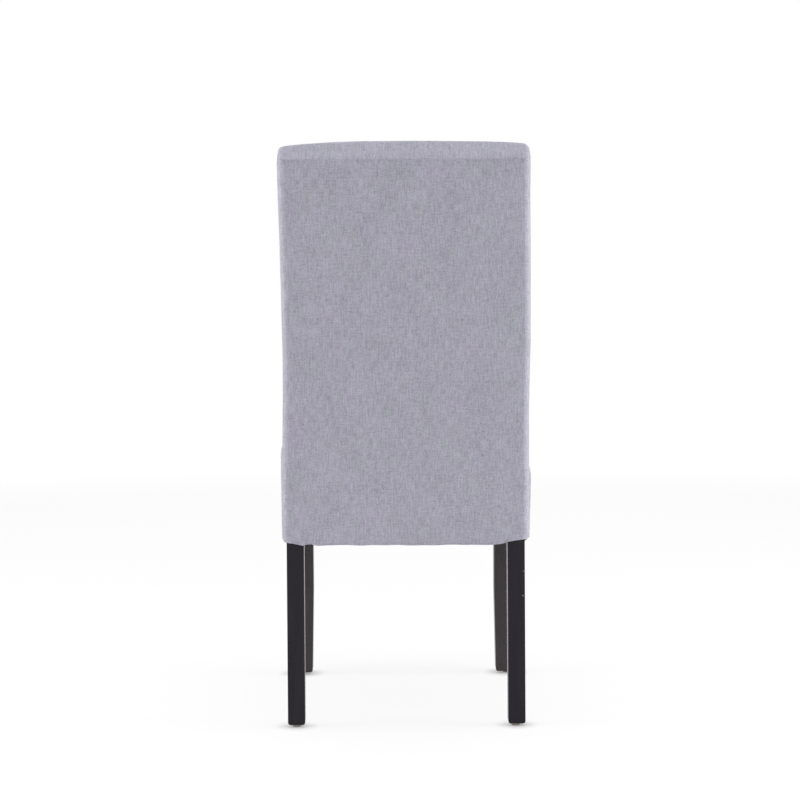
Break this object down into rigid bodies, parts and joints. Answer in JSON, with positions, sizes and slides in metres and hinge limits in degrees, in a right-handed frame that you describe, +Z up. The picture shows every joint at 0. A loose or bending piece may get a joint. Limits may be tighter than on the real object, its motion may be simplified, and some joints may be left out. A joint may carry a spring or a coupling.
{
  "type": "parsons chair",
  "caption": "Armless high-back dining chair: cloth-covered closed seat and raked back with a bevelled top, on four square black wooden legs with metal glides.",
  "frame": {"origin": "on the floor, under the middle of the chair's overall width and depth", "axes": "+Z up, -Y the way the sitter faces, +X the sitter's left"},
  "size_m": [0.465, 0.5792, 1],
  "materials": {
    "upholstery_cloth": "heathered linen-look weave, grey with a lilac cast",
    "black_wood": "satin black lacquer over hardwood",
    "raw_wood": "unfinished sawn hardwood",
    "hardboard": "thin brown hardboard",
    "foam": "open-cell cushion foam",
    "wadding": "white polyester wadding",
    "webbing": "black elastic webbing",
    "deck_cloth": "plain hessian",
    "dust_cloth": "black non-woven cloth",
    "zinc_steel": "zinc plated",
    "glide": "dull worn steel"
  },
  "bodies": {
    "root": {"back_strap_1": "webbing", "back_strap_2": "webbing", "back_strap_3": "webbing", "back_strap_4": "webbing", "back_wadding": "wadding", "crest_rail": "raw_wood", "dust_cover": "dust_cloth", "front_left_block_screw_1": "zinc_steel", "front_left_block_screw_2": "zinc_steel", "front_left_corner_block": "raw_wood", "front_left_glide": "glide", "front_left_leg": "black_wood", "front_left_leg_bolt": "zinc_steel", "front_right_block_screw_1": "zinc_steel", "front_right_block_screw_2": "zinc_steel", "front_right_corner_block": "raw_wood", "front_right_glide": "glide", "front_right_leg": "black_wood", "front_right_leg_bolt": "zinc_steel", "front_seat_rail": "raw_wood", "inside_back_cover": "upholstery_cloth", "inside_back_foam": "foam", "left_back_boxing": "upholstery_cloth", "left_seat_rail": "raw_wood", "lower_back_rail": "raw_wood", "middle_back_rail": "raw_wood", "outside_back_cover": "upholstery_cloth", "rear_board": "hardboard", "rear_left_block_screw_1": "zinc_steel", "rear_left_block_screw_2": "zinc_steel", "rear_left_corner_block": "raw_wood", "rear_left_glide": "glide", "rear_left_post": "black_wood", "rear_right_block_screw_1": "zinc_steel", "rear_right_block_screw_2": "zinc_steel", "rear_right_corner_block": "raw_wood", "rear_right_glide": "glide", "rear_right_post": "black_wood", "rear_seat_rail": "raw_wood", "right_back_boxing": "upholstery_cloth", "right_seat_rail": "raw_wood", "seat_cover": "upholstery_cloth", "seat_deck_cloth": "deck_cloth", "seat_foam": "foam", "seat_strap_cross_1": "webbing", "seat_strap_cross_2": "webbing", "seat_strap_cross_3": "webbing", "seat_strap_long_1": "webbing", "seat_strap_long_2": "webbing", "seat_strap_long_3": "webbing", "seat_wadding": "wadding"}
  },
  "joints": []
}
